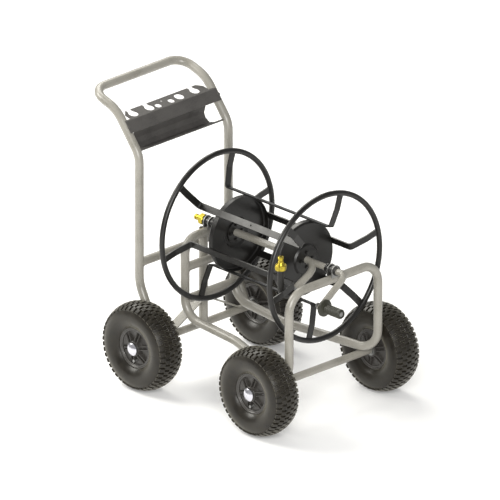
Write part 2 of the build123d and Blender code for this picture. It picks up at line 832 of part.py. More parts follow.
def hub_bolts():
    """Bolts and nuts that clamp each disc to its hub plate."""
    solids = []
    for x, inward in ((rear_disc_x, 1), (front_disc_x, -1)):
        face = x - inward * (boss_height + weld_gap)
        back = hub_plate_x(x, inward) + inward * (hub_plate_t + weld_gap)
        for index in range(hub_bolt_count):
            angle = 360 / hub_bolt_count * index
            at_xs = [face - inward * hub_bolt_head_h, face, back, back + inward * hub_bolt_head_h]
            at_xs.append(at_xs[-1] + inward * thread_tail)
            places = [around_axis(angle, hub_bolt_circle_r, at_x) for at_x in at_xs]
            head, neck, nut_in, nut_out, tail = places
            solids.append(rod(head, neck, hub_bolt_head_r) + rod(neck, tail, hub_bolt_r))
            nut_hole = rod(nut_in, nut_out, hub_bolt_r + press_gap)
            solids.append(rod(nut_in, nut_out, hub_bolt_head_r) - nut_hole)
    return group(solids)


def pipe_route():
    """Along the reel's axis, then out between two straps."""
    corners = [
        (pipe_rear_x, 0, axis_z),
        (outlet_x, 0, axis_z),
        around_axis(outlet_angle, outlet_pipe_end_r, outlet_x),
    ]
    return corners, [outlet_bend_r]


def shaft_pipe():
    """Water pipe that carries the reel and bends out to the hose outlet."""
    return bent_tube(*pipe_route(), pipe_r, pipe_wall)


def outlet_hose():
    """Moulded elbow from the end of the pipe to the brass outlet."""
    start_r = outlet_pipe_end_r + weld_gap
    corner_r = outlet_y / cos(radians(outlet_angle))
    corners = [
        around_axis(outlet_angle, start_r, outlet_x),
        around_axis(outlet_angle, corner_r, outlet_x),
        (outlet_x, outlet_y, outlet_z),
    ]
    return bent_tube(corners, [hose_bend_r], hose_r, hose_r - hose_bore_r)


def outlet_clamp():
    """Ferrule over the joint of pipe and elbow."""
    end_r = outlet_pipe_end_r + clamp_overlap
    start = around_axis(outlet_angle, end_r - clamp_length, outlet_x)
    end = around_axis(outlet_angle, end_r, outlet_x)
    inner_r = pipe_r + press_gap
    return rod(start, end, inner_r + clamp_wall) - rod(start, end, inner_r)


def crank_tube():
    """Cranked tube from the back of the pipe's bend through the front bush to the grip."""
    corners = [
        (outlet_x - crank_root * outlet_bend_r, 0, axis_z),
        (crank_x, 0, axis_z),
        around_axis(crank_angle, crank_throw + crank_overhang, crank_x),
    ]
    tube = bent_tube(corners, [crank_bend_r], crank_tube_r, crank_tube_wall)
    tube -= bent_rod(*pipe_route(), pipe_r + weld_gap)
    tube = tube.solids().sort_by(SortBy.VOLUME)[-1]
    hole_start = around_axis(crank_angle, crank_throw, crank_x - 2 * crank_tube_r)
    hole_end = around_axis(crank_angle, crank_throw, crank_x + 2 * crank_tube_r)
    return tube - rod(hole_start, hole_end, pin_r + press_gap)


def shaft_collars():
    """Collars beside the two bushes that keep the reel from sliding."""
    rear_x = rear_hoop_x + bush_length / 2 + end_float
    front_x = front_hoop_x - bush_length / 2 - end_float - collar_length
    solids = []
    for x, shaft_r in ((rear_x, pipe_r), (front_x, crank_tube_r)):
        start, end = (x, 0, axis_z), (x + collar_length, 0, axis_z)
        solids.append(rod(start, end, shaft_r + collar_wall) - rod(start, end, shaft_r + press_gap))
    return group(solids)


def crank_pin():
    """Shoulder bolt through the crank tube that the grip turns on, with its nut."""
    nut_x = crank_x - crank_tube_r - weld_gap
    nut_out_x = nut_x - pin_head_h
    at_xs = (nut_out_x - thread_tail, nut_out_x, nut_x, pin_seat_x, pin_seat_x + pin_head_h)
    tail, nut_out, nut_in, neck, tip = [around_axis(crank_angle, crank_throw, x) for x in at_xs]
    head = rod(neck, tip, pin_head_r)
    head = fillet(head.edges().group_by(Axis.X)[-1], pin_head_round)
    bolt = rod(tail, neck, pin_r) + head
    nut = rod(nut_out, nut_in, pin_head_r) - rod(nut_out, nut_in, pin_r + press_gap)
    return group([bolt, nut])


def crank_grip():
    """Ribbed grip with a round boss next to the crank; outline points are (x, radius)."""
    bore_r = pin_r + running_fit
    recess_r = pin_head_r + pin_recess_gap
    outline = [
        (0, bore_r),
        (0, grip_boss_r - grip_boss_round),
        (grip_boss_round, grip_boss_r),
        (grip_boss_length - grip_boss_round, grip_boss_r),
        (grip_boss_length, grip_boss_r - grip_boss_slope),
        (grip_boss_length + grip_boss_slope, grip_r),
    ]
    first_groove = grip_boss_length + grip_plain_start
    pitch = (grip_length - first_groove - grip_plain_end) / grip_groove_count
    bottom_r = grip_r - grip_groove_depth
    for index in range(grip_groove_count):
        x = first_groove + index * pitch
        outline += [(x, grip_r), (x + pitch / 5, bottom_r), (x + pitch * 2 / 5, bottom_r)]
        outline.append((x + pitch * 3 / 5, grip_r))
    outline += [
        (grip_length - grip_end_round, grip_r),
        (grip_length - grip_end_round / 4, grip_r - grip_end_round / 2),
        (grip_length, grip_r - grip_end_round),
        (grip_length, recess_r),
        (grip_length - pin_recess, recess_r),
        (grip_length - pin_recess, bore_r),
    ]
    _, y, z = around_axis(crank_angle, crank_throw, 0)
    return Pos(0, y, 0) * turned_x(outline, grip_start_x, z)


# ---------------------------------------------------------------- brass fittings
def fitting(socket_r, socket_depth):
    """Brass fitting along +Z from its foot: hexagon, shoulder and quick-connect nose."""
    hexagon = extrude(RegularPolygon(hex_across / 2, 6, major_radius=False), amount=hex_length)
    crown = Cylinder(hex_across / 2 + hex_crown, hex_length, align=UPRIGHT)
    crown = chamfer(crown.edges().filter_by(GeomType.CIRCLE), hex_chamfer)
    nose_z = hex_length + shoulder_length
    tip_z = nose_z + nose_length
    groove_z = nose_z + nose_land
    groove_r = nose_r - nose_groove_depth
    groove_end_z = groove_z + nose_groove_slope + nose_groove_width
    outline = [
        (0, hex_length),
        (shoulder_r, hex_length),
        (nose_r, nose_z),
        (nose_r, groove_z),
        (groove_r, groove_z + nose_groove_slope),
        (groove_r, groove_end_z),
        (nose_r, groove_end_z + nose_groove_slope),
        (nose_r, tip_z - nose_chamfer),
        (nose_r - nose_chamfer, tip_z),
        (0, tip_z),
    ]
    face = make_face(Polyline(*[(r, 0, z) for r, z in outline], close=True))
    body = (hexagon & crown) + revolve(face, Axis.Z)
    body -= Cylinder(socket_r, socket_depth, align=UPRIGHT)
    return body - Cylinder(fitting_bore_r, tip_z, align=UPRIGHT)


def outlet_fitting():
    """Fitting that the hose on the drum is pushed onto, on top of the elbow."""
    fitting_solid = fitting(fitting_bore_r + socket_step, outlet_socket_depth)
    return Pos(outlet_x, outlet_y, outlet_z + weld_gap) * fitting_solid


def inlet_foot_x():
    """The swivel's open end, over the pipe and clear of the rear bush."""
    return rear_hoop_x - bush_length / 2 - end_float * 2


def inlet_swivel():
    """Brass swivel that turns on the end of the pipe, its nose towards -X."""
    socket_depth = inlet_foot_x() - pipe_rear_x + end_float + seal_t
    return Pos(inlet_foot_x(), 0, axis_z) * Rot(0, -90, 0) * fitting(pipe_r + running_fit, socket_depth)


def inlet_seal():
    """Rubber washer in the swivel against the end of the pipe."""
    start = (pipe_rear_x - end_float, 0, axis_z)
    end = (pipe_rear_x - end_float - seal_t + weld_gap, 0, axis_z)
    return rod(start, end, pipe_r - weld_gap) - rod(start, end, fitting_bore_r + socket_step)


# ---------------------------------------------------------------- the whole cart
def build():
    """Every piece by its node's name, moved so that the cart is centred on the origin."""
    pieces = {
        "handle_tube": handle_tube(),
        "handle_crossbar": handle_crossbar(),
        "rear_hoop": rear_hoop(),
        "front_hoop": front_hoop(),
        "hoop_crossbar_low": hoop_crossbar(crossbar_low_z),
        "hoop_crossbar_high": hoop_crossbar(crossbar_high_z),
        "centre_post": centre_post(),
        "axle_bushes": axle_bushes(),
        "axle_washers": axle_washers(),
        "axle_caps": axle_caps(),
        "bearing_bracket_rear": bearing_bracket(rear_hoop_x),
        "bearing_bracket_front": bearing_bracket(front_hoop_x),
        "bearing_bush_rear": bearing_bush(rear_hoop_x, pipe_r),
        "bearing_bush_front": bearing_bush(front_hoop_x, crank_tube_r),
        "tool_rack": tool_rack(),
        "rack_screws": rack_screws(),
        "rack_trough": rack_trough(),
        "ring_rear": ring(rear_ring_x),
        "ring_front": ring(front_ring_x),
        "disc_rear": disc(rear_disc_x, 1),
        "disc_front": disc(front_disc_x, -1),
        "hub_plate_rear": hub_plate(rear_disc_x, 1),
        "hub_plate_front": hub_plate(front_disc_x, -1),
        "hub_bolts": hub_bolts(),
        "shaft_pipe": shaft_pipe(),
        "shaft_collars": shaft_collars(),
        "outlet_hose": outlet_hose(),
        "outlet_clamp": outlet_clamp(),
        "outlet_fitting": outlet_fitting(),
        "crank_tube": crank_tube(),
        "crank_pin": crank_pin(),
        "crank_grip": crank_grip(),
        "inlet_swivel": inlet_swivel(),
        "inlet_seal": inlet_seal(),
    }
    for index in range(strap_count):
        pieces[f"strap_{index + 1}"] = strap(index)
    for name, side in SIDES.items():
        pieces[f"rail_spigot_{name}"] = rail_spigot(side)
        pieces[f"brace_{name}"] = brace(side)
    for end, x in AXLES.items():
        pieces[f"{end}_axle_tube"] = axle_tube(x)
        pieces[f"{end}_axle_rod"] = axle_rod(x)
        for name, side in SIDES.items():
            place = Pos(x, side * wheel_y, axle_z)
            pieces[f"tyre_{end}_{name}"] = place * tyre()
            pieces[f"rim_{end}_{name}"] = place * rim()
            pieces[f"bearings_{end}_{name}"] = place * bearings()
    return {name: Pos(-centre_x, 0, 0) * piece for name, piece in pieces.items()}


def main():
    """Write one STEP file for each piece."""
    os.makedirs("parts", exist_ok=True)
    for name, piece in build().items():
        export_step(piece, f"parts/{name}.step")


main()
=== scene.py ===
# %% [markdown]
# # A four-wheeled garden hose reel cart
# The cart is a welded tube frame on four knobbly pneumatic wheels. An open reel of two
# rings and six flat straps turns in two bushes on top of it, and a folded rack for tools
# hangs on the push handle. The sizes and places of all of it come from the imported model.
# This file adds only what the eye needs: finishes on every part, tyres with tread, rims
# with ribs, valves, hexagon bolts, weld beads, and a studio to see them in.

# %% Open the frame
import bmesh
import bpy
import json
from math import atan2, cos, pi, radians, sin, sqrt, tau
from mathutils import Matrix, Vector


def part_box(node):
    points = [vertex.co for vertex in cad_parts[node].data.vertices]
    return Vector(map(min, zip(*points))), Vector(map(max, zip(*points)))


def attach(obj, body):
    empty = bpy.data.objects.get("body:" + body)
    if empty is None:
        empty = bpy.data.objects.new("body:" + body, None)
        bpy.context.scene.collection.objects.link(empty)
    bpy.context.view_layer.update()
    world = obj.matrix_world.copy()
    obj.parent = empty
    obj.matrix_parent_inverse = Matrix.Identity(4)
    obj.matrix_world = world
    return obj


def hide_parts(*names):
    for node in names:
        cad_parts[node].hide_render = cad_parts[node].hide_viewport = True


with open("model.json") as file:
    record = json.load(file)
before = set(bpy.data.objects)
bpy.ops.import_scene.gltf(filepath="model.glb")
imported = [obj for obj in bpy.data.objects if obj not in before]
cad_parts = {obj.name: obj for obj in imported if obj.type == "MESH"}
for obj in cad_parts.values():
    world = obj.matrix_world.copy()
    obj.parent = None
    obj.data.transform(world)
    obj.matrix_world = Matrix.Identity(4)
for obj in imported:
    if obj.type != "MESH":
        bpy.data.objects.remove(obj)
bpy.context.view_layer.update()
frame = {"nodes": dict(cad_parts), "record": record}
nodes = frame["nodes"]
MM = 0.001
X, Y, Z = Vector((1, 0, 0)), Vector((0, 1, 0)), Vector((0, 0, 1))

# %% [markdown]
# ## Camera
# The cart is seen from its front right corner, a little from above, and without any
# perspective: parallel edges stay parallel. An orthographic camera does that. Its scale
# is the width of the view in metres. How far off it stands changes nothing in the view,
# so it only has to be clear of the cart. It looks at a point between the axles.

# %% Look from the front right
view_azimuth, view_elevation = radians(45.7), radians(22.5)
view_width = 1.410
camera_distance, clip_distance = 4.0, 20.0
ahead_of_axle, look_height = 0.1909, 0.409
back = Vector((
    sin(view_azimuth) * cos(view_elevation),
    -cos(view_azimuth) * cos(view_elevation),
    sin(view_elevation),
))
axle_low, axle_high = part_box("rear_axle_rod")
axle_x = (axle_low.x + axle_high.x) / 2
look_at = Vector((axle_x + ahead_of_axle, 0.0, look_height))
camera_data = bpy.data.cameras.new("camera")
camera_data.type = "ORTHO"
camera_data.ortho_scale = view_width
camera_data.clip_end = clip_distance
camera = bpy.data.objects.new("camera", camera_data)
camera.location = look_at + back * camera_distance
camera.rotation_euler = back.to_track_quat("Z", "Y").to_euler()
bpy.context.scene.collection.objects.link(camera)
bpy.context.scene.camera = camera
print("camera at", [round(v, 2) for v in camera.location])

# %% [markdown]
# ## Colours and nodes
# Colours are written as the hex values that a paint chart gives. They are sRGB, which
# is stretched for the eye, while the renderer adds up light, so one function turns them
# to linear. A second sets a node's sockets, or links them. A third adds a node of any
# kind to a material, with its settings and its links. The last opens a new material
# whose coordinates are real millimetres, so a noise with a scale of 1 / 60 has features
# about 60 mm across.

# %% Helpers for finishes
def linear(hex_colour):
    """Linear RGBA of an sRGB hex colour such as 'b5b0a5'."""
    parts = [int(hex_colour[i:i + 2], 16) / 255 for i in (0, 2, 4)]
    return [c / 12.92 if c <= 0.04045 else ((c + 0.055) / 1.055) ** 2.4 for c in parts] + [1.0]


def plug(tree, node, values):
    """Set a node's sockets: a tuple (node, output) is a link, anything else a value."""
    for socket, value in values.items():
        if isinstance(value, tuple):
            tree.links.new(value[0].outputs[value[1]], node.inputs[socket])
        else:
            node.inputs[socket].default_value = value


def add(tree, kind, values, stops=(), **settings):
    """A node with its settings and its sockets. A colour ramp has (position, hex) stops."""
    node = tree.nodes.new("ShaderNode" + kind)
    for key, value in settings.items():
        setattr(node, key, value)
    for index, (position, colour) in enumerate(stops):
        elements = node.color_ramp.elements
        element = elements[index] if index < len(elements) else elements.new(position)
        element.position = position
        element.color = linear(colour)
    plug(tree, node, values)
    return node


def finish(name):
    """A new material: itself, its tree, its shader and its coordinates in millimetres."""
    material = bpy.data.materials.new(name)
    material.use_nodes = True
    tree = material.node_tree
    metres = add(tree, "TexCoord", {})
    millimetres = add(tree, "Mapping", {"Vector": (metres, "Object"), "Scale": [1 / MM] * 3})
    return material, tree, tree.nodes["Principled BSDF"], (millimetres, "Vector")


print("helpers ready")

# %% [markdown]
# ## Powder coat on the frame and the rack
# The tubes are steel, dusted with a warm light grey powder and baked. The powder melts
# into a satin skin with a faint orange peel, about 1.6 mm from crest to crest, which
# breaks the edge of each highlight a little. A thin clear coat in the shader gives it
# the two glosses of baked paint: a soft sheen under a tighter one. The rack has a
# charcoal powder with a coarser, drier wrinkle of about 2.4 mm and no such coat, so it
# is duller.
#
# The colour of each comes from two noises. One drifts over 60 mm, as the film's
# thickness does. The other is a speckle of 1.1 mm, far coarser than the real grains, so
# that it shows. Their sum is about 1, so the tone turns darker only where both run low.

# %% Powder coats
def powder_coat(name, dark, light, roughness, peel_mm, peel_depth_mm, level, coat):
    """Baked powder: cloud is the slow drift of the film, speck its speckle."""
    material, tree, shader, at = finish(name)
    cloud_mm, speck_mm = 60, 1.1
    cloud = add(tree, "TexNoise", {"Vector": at, "Scale": 1 / cloud_mm, "Detail": 3.0})
    speck = add(tree, "TexNoise", {"Vector": at, "Scale": 1 / speck_mm, "Detail": 0.0})
    peel = add(tree, "TexNoise", {"Vector": at, "Scale": 1 / peel_mm, "Detail": 1.0})
    mottle = add(tree, "Math", {0: (cloud, "Fac"), 1: (speck, "Fac")}, operation="ADD")
    tone = add(
        tree, "ValToRGB", {"Fac": (mottle, "Value")}, stops=[(0.72, dark), (1.0, light)],
    )
    gloss = add(tree, "MapRange", {
        "Value": (cloud, "Fac"), "From Min": 0.3, "From Max": 0.7,
        "To Min": roughness - 0.05, "To Max": roughness + 0.06,
    })
    relief = add(tree, "Bump", {
        "Height": (peel, "Fac"), "Distance": peel_depth_mm * MM, "Strength": 0.6,
    })
    plug(tree, shader, {
        "Base Color": (tone, "Color"), "Roughness": (gloss, "Result"),
        "Normal": (relief, "Normal"),
        "Specular IOR Level": level, "Coat Weight": coat, "Coat Roughness": 0.18,
    })
    return material


frame_paint = powder_coat(
    "frame powder coat", "77746b", "8f8c84",
    roughness=0.34, peel_mm=1.6, peel_depth_mm=0.05, level=0.5, coat=0.30,
)
rack_paint = powder_coat(
    "rack powder coat", "3f3d3c", "504e4c",
    roughness=0.58, peel_mm=2.4, peel_depth_mm=0.14, level=0.25, coat=0.0,
)
print("made", frame_paint.name, "and", rack_paint.name)

# %% [markdown]
# ## Black enamel on the reel
# The rings, straps and end plates are dipped in black enamel. It is a smooth skin over
# a very dark colour, so a flat strap that faces a light flashes pale while the rest
# stays dark. That flash is only reflection, so it comes from gloss and lights, not from
# colour. The dip runs a little before it sets, which leaves soft sags about 14 mm apart.

# %% Reel enamel
def enamel(name, dark, light, roughness):
    """Dipped enamel with sags and a fine peel."""
    material, tree, shader, at = finish(name)
    cloud_mm, peel_mm, sag_mm = 35, 2.6, 14
    cloud = add(tree, "TexNoise", {"Vector": at, "Scale": 1 / cloud_mm, "Detail": 3.0})
    peel = add(tree, "TexNoise", {"Vector": at, "Scale": 1 / peel_mm, "Detail": 1.0})
    sag = add(tree, "TexNoise", {"Vector": at, "Scale": 1 / sag_mm, "Detail": 0.0})
    tone = add(tree, "ValToRGB", {"Fac": (cloud, "Fac")}, stops=[(0.3, dark), (0.7, light)])
    gloss = add(tree, "MapRange", {
        "Value": (cloud, "Fac"), "From Min": 0.3, "From Max": 0.7,
        "To Min": roughness - 0.04, "To Max": roughness + 0.06,
    })
    surface = add(tree, "Math", {0: (sag, "Fac"), 1: (peel, "Fac")}, operation="ADD")
    relief = add(tree, "Bump", {
        "Height": (surface, "Value"), "Distance": 0.05 * MM, "Strength": 0.5,
    })
    plug(tree, shader, {
        "Base Color": (tone, "Color"), "Roughness": (gloss, "Result"),
        "Normal": (relief, "Normal"),
        "Specular IOR Level": 0.40, "Coat Weight": 0.05, "Coat Roughness": 0.15,
    })
    return material


reel_paint = enamel("reel black enamel", "100f0e", "181715", roughness=0.34)
print("made", reel_paint.name)

# %% [markdown]
# ## Rubber
# Tyre rubber is carbon black with a bloom of wax and dust: its highlights are broad and
# never sharp, and its black leans to brown where dust sits. The bloom is drawn as a
# sheen, which is palest where the surface turns away from the eye. The mould leaves a
# matte grain of about 0.9 mm. The grip is a smoother and greyer rubber with less bloom,
# and the outlet's elbow is a harder one with hardly any.

# %% Rubber finishes
def rubber(name, dark, light, roughness, grain_mm, bloom):
    """Moulded rubber: dust in slow patches and a matte grain."""
    material, tree, shader, at = finish(name)
    dust_mm = 24
    dust = add(tree, "TexNoise", {
        "Vector": at, "Scale": 1 / dust_mm, "Detail": 6.0, "Roughness": 0.6,
    })
    matte = add(tree, "TexNoise", {"Vector": at, "Scale": 1 / grain_mm, "Detail": 2.0})
    tone = add(tree, "ValToRGB", {"Fac": (dust, "Fac")}, stops=[(0.35, dark), (0.65, light)])
    gloss = add(tree, "MapRange", {
        "Value": (dust, "Fac"), "From Min": 0.3, "From Max": 0.7,
        "To Min": roughness - 0.06, "To Max": roughness + 0.08,
    })
    relief = add(tree, "Bump", {
        "Height": (matte, "Fac"), "Distance": 0.08 * MM, "Strength": 0.6,
    })
    plug(tree, shader, {
        "Base Color": (tone, "Color"), "Roughness": (gloss, "Result"),
        "Normal": (relief, "Normal"),
        "Sheen Weight": bloom, "Sheen Roughness": 0.4, "Sheen Tint": linear("d8d2bc"),
        "IOR": 1.52, "Specular IOR Level": 0.34,
    })
    return material


tyre_rubber = rubber(
    "tyre rubber", "15120e", "201c15", roughness=0.33, grain_mm=0.9, bloom=0.35
)
grip_rubber = rubber(
    "grip rubber", "26261e", "303027", roughness=0.42, grain_mm=0.8, bloom=0.10
)
hose_rubber = rubber(
    "elbow rubber", "191816", "201f1d", roughness=0.44, grain_mm=1.2, bloom=0.05
)
print("made", [m.name for m in (tyre_rubber, grip_rubber, hose_rubber)])

# %% [markdown]
# ## Moulded nylon
# The rims and bushes are nylon filled with short glass, moulded black. The glass leaves
# the skin satin, with small flecks drawn out along the flow. It is a little greyer than
# the rubber round it, so the rim's lip shows as a thin pale line.

# %% Moulded black nylon
def moulded_nylon(name, dark, light):
    """Glass-filled nylon: its flecks are drawn out along the axles, to 6 mm."""
    material, tree, shader, at = finish(name)
    fleck_mm, fleck_stretch = 1.5, 4
    drawn = add(tree, "Mapping", {"Vector": at, "Scale": [1.0, 1 / fleck_stretch, 1.0]})
    fleck = add(tree, "TexNoise", {
        "Vector": (drawn, "Vector"), "Scale": 1 / fleck_mm, "Detail": 2.0,
    })
    tone = add(tree, "ValToRGB", {"Fac": (fleck, "Fac")}, stops=[(0.35, dark), (0.7, light)])
    gloss = add(tree, "MapRange", {
        "Value": (fleck, "Fac"), "From Min": 0.3, "From Max": 0.7,
        "To Min": 0.28, "To Max": 0.40,
    })
    relief = add(tree, "Bump", {
        "Height": (fleck, "Fac"), "Distance": 0.05 * MM, "Strength": 0.5,
    })
    plug(tree, shader, {
        "Base Color": (tone, "Color"), "Roughness": (gloss, "Result"),
        "Normal": (relief, "Normal"), "IOR": 1.53,
    })
    return material


rim_nylon = moulded_nylon("rim nylon", "2d2b28", "3f3c39")
bush_nylon = moulded_nylon("bush nylon", "1c1b1a", "292826")
print("made", rim_nylon.name, "and", bush_nylon.name)

# %% [markdown]
# ## Bare metals
# Axles, washers, brackets, valves and the crank's pin are zinc plated: a soft grey with
# cloudy gloss. The wheel caps are nickel plated and polished. The two hose fittings are
# turned from brass bar, so fine rings run round their axis. Real ones are about 0.2 mm
# apart, and are drawn 2.37 mm apart here so that they show. A wave texture repeats every
# tau / 20 of its own coordinate, which gives its scale. One fitting lies along X and the
# other stands along Z, so the rings' direction is a setting.

# %% Zinc, nickel and brass
wave_repeat = tau / 20


def bare_metal(name, dark, light, roughness, cloud_mm, marks_mm, turned_about=None):
    """Bare metal with cloudy gloss and either fine scratches or turning rings."""
    material, tree, shader, at = finish(name)
    cloud = add(tree, "TexNoise", {"Vector": at, "Scale": 1 / cloud_mm, "Detail": 3.0})
    if turned_about:
        marks = add(tree, "TexWave", {
            "Vector": at, "Scale": wave_repeat / marks_mm, "Distortion": 0.4,
        }, bands_direction=turned_about)
    else:
        marks = add(tree, "TexNoise", {"Vector": at, "Scale": 1 / marks_mm, "Detail": 1.0})
    tone = add(tree, "ValToRGB", {"Fac": (cloud, "Fac")}, stops=[(0.3, dark), (0.7, light)])
    gloss = add(tree, "MapRange", {
        "Value": (cloud, "Fac"), "From Min": 0.3, "From Max": 0.7,
        "To Min": roughness - 0.05, "To Max": roughness + 0.08,
    })
    relief = add(tree, "Bump", {
        "Height": (marks, "Fac"), "Distance": 0.02 * MM, "Strength": 0.4,
    })
    plug(tree, shader, {
        "Base Color": (tone, "Color"), "Roughness": (gloss, "Result"),
        "Normal": (relief, "Normal"), "Metallic": 1.0,
    })
    return material


zinc_steel = bare_metal(
    "zinc plated steel", "828281", "9d9d9b", roughness=0.48, cloud_mm=8.0, marks_mm=0.8
)
cap_steel = bare_metal(
    "nickel plated cap", "c9c8cf", "dcdbe2", roughness=0.20, cloud_mm=12.0, marks_mm=1.5
)
brass = {"roughness": 0.30, "cloud_mm": 9.0, "marks_mm": 2.37}
brass_along_x = bare_metal(
    "turned brass, lying", "9c8c30", "c2ad44", **brass, turned_about="X"
)
brass_along_z = bare_metal(
    "turned brass, standing", "9c8c30", "c2ad44", **brass, turned_about="Z"
)
print("made", [m.name for m in (zinc_steel, cap_steel, brass_along_x, brass_along_z)])

# %% [markdown]
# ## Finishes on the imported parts
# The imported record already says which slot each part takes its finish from, so one
# table from slot to finish dresses every tube, strap and fitting. Only the inlet then
# changes to the brass whose turning rings run the other way.

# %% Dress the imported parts
finishes = {
    "frame_paint": frame_paint,
    "reel_paint": reel_paint,
    "rack_paint": rack_paint,
    "tyre_rubber": tyre_rubber,
    "rim_plastic": rim_nylon,
    "zinc_steel": zinc_steel,
    "cap_steel": cap_steel,
    "nylon": bush_nylon,
    "hose_rubber": hose_rubber,
    "grip_rubber": grip_rubber,
    "brass": brass_along_z,
}
for subpart in frame["record"]["subparts"]:
    part = nodes[subpart["node"]]
    part.data.materials.clear()
    part.data.materials.append(finishes[subpart["material_slot"]])
nodes["inlet_swivel"].data.materials[0] = brass_along_x

# %% [markdown]
# ## Making a piece
# New pieces start as a bmesh: an editable mesh that Blender's own modelling operators
# work on. A round piece is an outline spun about an axis, and a repeated one is stored
# as a mesh and stamped where it is needed. One function closes the work: it turns the
# faces outward, smooths all but the sharp edges, dresses the piece, and makes it ride on
# its body of the cart.

# %% Helpers for pieces
merge_distance = 0.001 * MM


def settle(name, bm, slot_name, body, stands_for=(), sharp_angle=38):
    """Turn a bmesh in metres into a finished piece."""
    bmesh.ops.recalc_face_normals(bm, faces=bm.faces[:])
    mesh = bpy.data.meshes.new(name)
    bm.to_mesh(mesh)
    bm.free()
    for face in mesh.polygons:
        face.use_smooth = True
    mesh.set_sharp_from_angle(angle=radians(sharp_angle))
    mesh.materials.append(finishes[slot_name])
    piece = bpy.data.objects.new(name, mesh)
    bpy.context.scene.collection.objects.link(piece)
    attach(piece, body)
    if stands_for:
        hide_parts(*stands_for)
    return piece


def arc(start, middle, end, steps):
    """Points along the circle through three points, both ends included."""
    (ax, ay), (bx, by), (cx, cy) = start, middle, end
    d = 2 * (ax * (by - cy) + bx * (cy - ay) + cx * (ay - by))
    a2, b2, c2 = ax * ax + ay * ay, bx * bx + by * by, cx * cx + cy * cy
    ox = (a2 * (by - cy) + b2 * (cy - ay) + c2 * (ay - by)) / d
    oy = (a2 * (cx - bx) + b2 * (ax - cx) + c2 * (bx - ax)) / d
    radius = sqrt((ax - ox) ** 2 + (ay - oy) ** 2)
    first, mid, last = (atan2(y - oy, x - ox) for x, y in (start, middle, end))
    turn = (last - first) % tau
    if (mid - first) % tau > turn:
        turn -= tau
    angles = [first + turn * k / steps for k in range(steps + 1)]
    return [(ox + radius * cos(a), oy + radius * sin(a)) for a in angles]


def lathe(bm, outline, steps, closed=True):
    """Spin an outline of (radius, height) points once round the Z axis."""
    verts = [bm.verts.new((r, 0, h)) for r, h in outline]
    edges = [bm.edges.new(pair) for pair in zip(verts, verts[1:])]
    if closed:
        edges.append(bm.edges.new((verts[-1], verts[0])))
    bmesh.ops.spin(
        bm, geom=verts + edges, cent=(0, 0, 0), axis=(0, 0, 1), angle=tau, steps=steps,
        use_merge=True,
    )
    bmesh.ops.remove_doubles(bm, verts=bm.verts[:], dist=merge_distance)
    return bm


def place(bm, matrix):
    """Turn and move the whole of a bmesh."""
    bmesh.ops.transform(bm, matrix=matrix, verts=bm.verts[:])


def store(bm, name):
    """Keep a bmesh as a mesh that can be stamped into others."""
    mesh = bpy.data.meshes.new(name)
    bm.to_mesh(mesh)
    bm.free()
    return mesh


def stamp(bm, mesh, matrix):
    """Add a copy of a mesh, turned and moved. Its points come last in the bmesh."""
    known = len(bm.verts)
    bm.from_mesh(mesh)
    bm.verts.ensure_lookup_table()
    bmesh.ops.transform(bm, matrix=matrix, verts=bm.verts[known:])


def toward(direction, origin):
    """Matrix that turns +Z to a direction and moves it to an origin."""
    return Matrix.Translation(origin) @ direction.to_track_quat("Z", "Y").to_matrix().to_4x4()


def middle_of(node):
    """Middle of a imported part's box."""
    low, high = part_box(node)
    return (low + high) / 2


print("piece helpers ready")

# %% [markdown]
# ## Tyres
# Each tyre is a smooth carcass with six rows of rubber blocks. The carcass is one
# outline spun round the axle. Its outline is three arcs: two side walls that bulge and
# a crown that is a block's height lower than the tyre's full radius, so that the blocks
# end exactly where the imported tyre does, and the wheel still stands on the floor.
#
# A block is a short prism, made once for each row. Its top is a little smaller than its
# foot and follows the crown, its edges are bevelled, and its foot stands in the carcass,
# so it needs no floor. It is then copied round the row, leaning with the crown, and the
# row beside it is turned half a step, as on the mould of such a tyre.

# %% Sizes of the tread
wheel_names = [f"{end}_{side}" for end in ("rear", "front") for side in ("left", "right")]
tyre_low, tyre_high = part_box("tyre_front_right")
tyre_r = (tyre_high.z - tyre_low.z) / 2
tyre_half = (tyre_high.y - tyre_low.y) / 2
flange_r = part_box("rim_front_right")[1].z - middle_of("rim_front_right").z
# The crown is an arc that falls crown_drop from its middle to crown_half beside it.
crown_drop, crown_half = 9.0 * MM, 37.1 * MM
crown_r = (crown_half**2 + crown_drop**2) / (2 * crown_drop)
# The side wall runs from the rim's flange, through its belly, to the shoulder.
bead_width, bead_depth = 4.0 * MM, 8.0 * MM
lip_inset, lip_rise = 14.9 * MM, 0.6 * MM
belly_inset, belly_share = 0.3 * MM, 0.72
shoulder_lean = radians(33)
wall_steps, crown_steps, carcass_steps = 14, 12, 96
block_height, block_root, block_edge = 5.0 * MM, 1.2 * MM, 0.7 * MM
taper_along, taper_across = 0.86, 0.97
blocks_round = 44
# Each row: its lean in degrees, its blocks' length and width in mm, and their skew.
tread_rows = [(5.15, 14.6, 14.9, 0.12), (15.5, 14.0, 14.9, -0.12), (26.6, 13.2, 16.6, 0.06)]
print("tyre radius", round(tyre_r, 4), "crown radius", round(crown_r, 4))
print("blocks on a tyre", 2 * len(tread_rows) * blocks_round)


